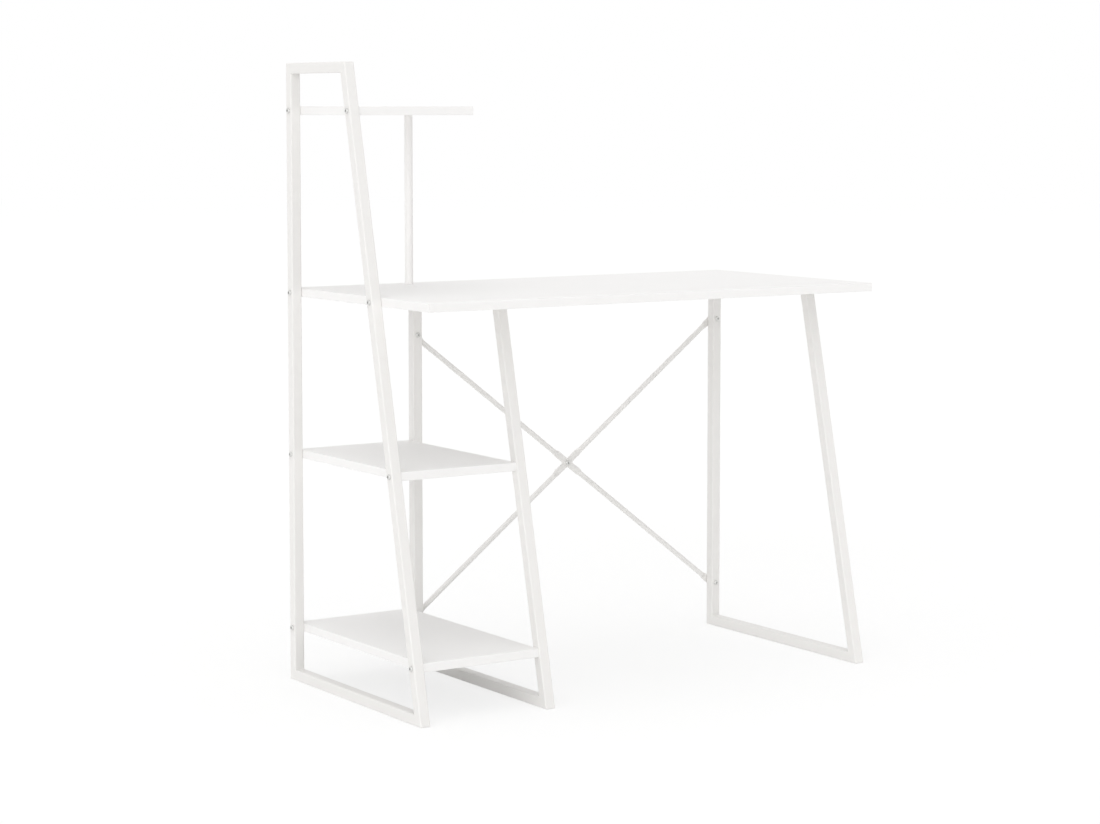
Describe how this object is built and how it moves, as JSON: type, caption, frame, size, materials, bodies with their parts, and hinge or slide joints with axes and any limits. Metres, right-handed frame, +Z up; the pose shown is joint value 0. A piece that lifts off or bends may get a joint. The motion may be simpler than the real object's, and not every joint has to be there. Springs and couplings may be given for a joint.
{
  "type": "desk with shelves",
  "caption": "White desk with a shelf tower at its left end: leaning square-tube steel frames, melamine-faced boards bolted between them and thin crossed brace tubes at the back.",
  "frame": {"origin": "on the floor, under the centre of the overall box", "axes": "+Z up; +X to the right as seen from the front, away from the shelf tower; +Y from the front to the back"},
  "size_m": [1.0234, 0.5, 1.17],
  "materials": {
    "frame_paint": "satin white powder coat on steel tube",
    "board_melamine": "satin white melamine on chipboard",
    "edge_band": "satin white edge band",
    "zinc_steel": "zinc-plated steel"
  },
  "bodies": {
    "root": {"left_frame_rear_post": "frame_paint", "left_frame_top_bar": "frame_paint", "left_frame_front_leg": "frame_paint", "left_frame_foot_bar": "frame_paint", "middle_frame_rear_post": "frame_paint", "middle_frame_top_bar": "frame_paint", "middle_frame_front_leg": "frame_paint", "middle_frame_foot_bar": "frame_paint", "right_frame_rear_post": "frame_paint", "right_frame_top_bar": "frame_paint", "right_frame_front_leg": "frame_paint", "right_frame_foot_bar": "frame_paint", "tabletop_panel": "board_melamine", "upper_shelf_panel": "board_melamine", "middle_shelf_panel": "board_melamine", "lower_shelf_panel": "board_melamine", "tabletop_edge_bands": "edge_band", "upper_shelf_edge_bands": "edge_band", "middle_shelf_edge_bands": "edge_band", "lower_shelf_edge_bands": "edge_band", "shelf_post": "frame_paint", "shelf_post_plugs": "zinc_steel", "shelf_post_lower_bolt": "zinc_steel", "shelf_post_upper_screw": "zinc_steel", "falling_brace": "frame_paint", "rising_brace": "frame_paint", "brace_end_bolts": "zinc_steel", "brace_end_nuts": "zinc_steel", "brace_centre_bolt": "zinc_steel", "brace_centre_nut": "zinc_steel", "left_frame_bolts": "zinc_steel", "middle_frame_bolts": "zinc_steel", "edge_insert_nuts": "zinc_steel", "tabletop_bolts": "zinc_steel", "tabletop_insert_nuts": "zinc_steel"}
  },
  "joints": []
}
